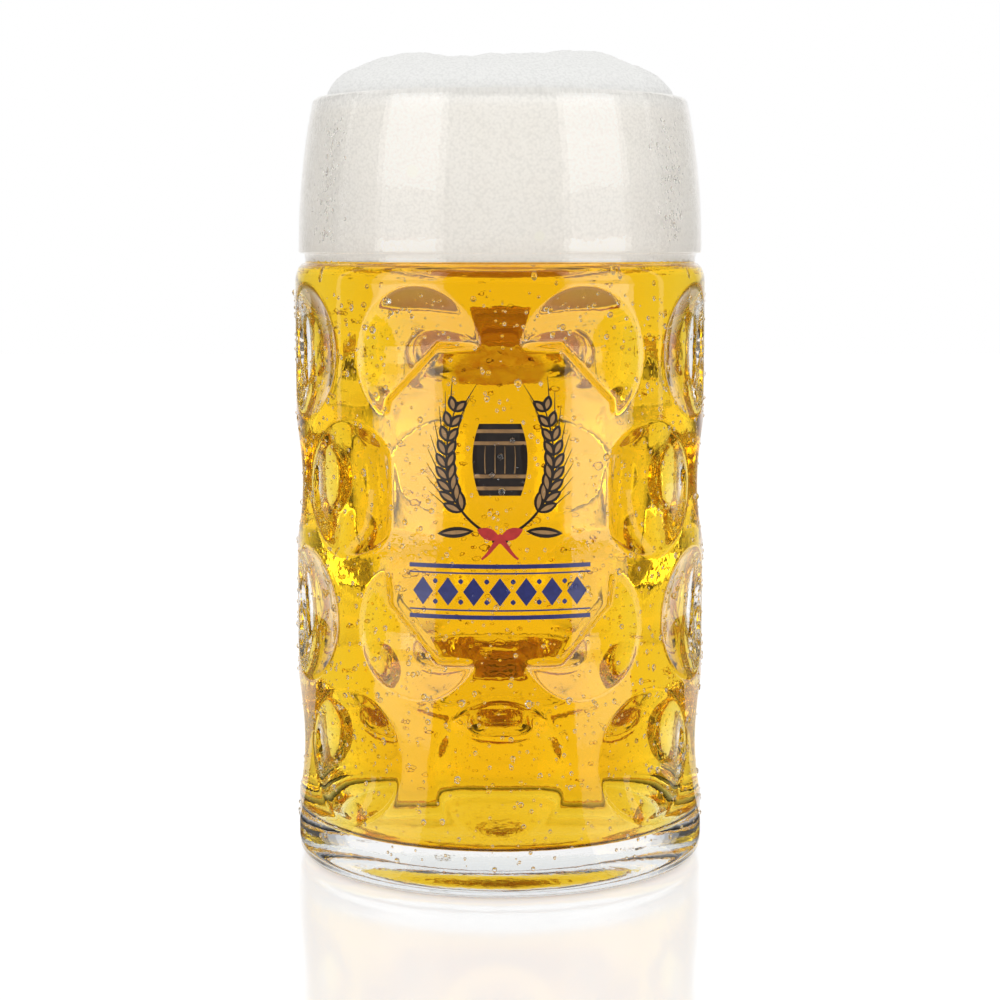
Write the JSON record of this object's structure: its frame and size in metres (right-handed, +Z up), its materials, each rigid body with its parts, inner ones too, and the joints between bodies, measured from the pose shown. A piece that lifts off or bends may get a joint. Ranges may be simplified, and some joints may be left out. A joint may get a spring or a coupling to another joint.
{
  "type": "glass beer mug",
  "caption": "Tall clear glass beer mug with round dished eyes, a barrel collar, a plain front panel and a loop handle, filled with golden beer under a foam head.",
  "frame": {"origin": "on the mug's axis at the height of the table, under the centre of the base", "axes": "+Z up along the mug's axis, -Y towards the plain front panel, +Y towards the handle, +X to the right seen from the front"},
  "size_m": [0.1104, 0.1564, 0.2182],
  "materials": {
    "clear_glass": "clear fire-polished pressed glass",
    "golden_beer": "clear golden lager",
    "white_foam": "fine off-white beer foam",
    "enamel_print": "thin fired enamel print on the front panel",
    "water_drops": "drops of condensation on the outside"
  },
  "bodies": {
    "root": {"mug_body": "clear_glass", "handle": "clear_glass", "beer": "golden_beer", "foam_head": "white_foam"}
  },
  "joints": []
}
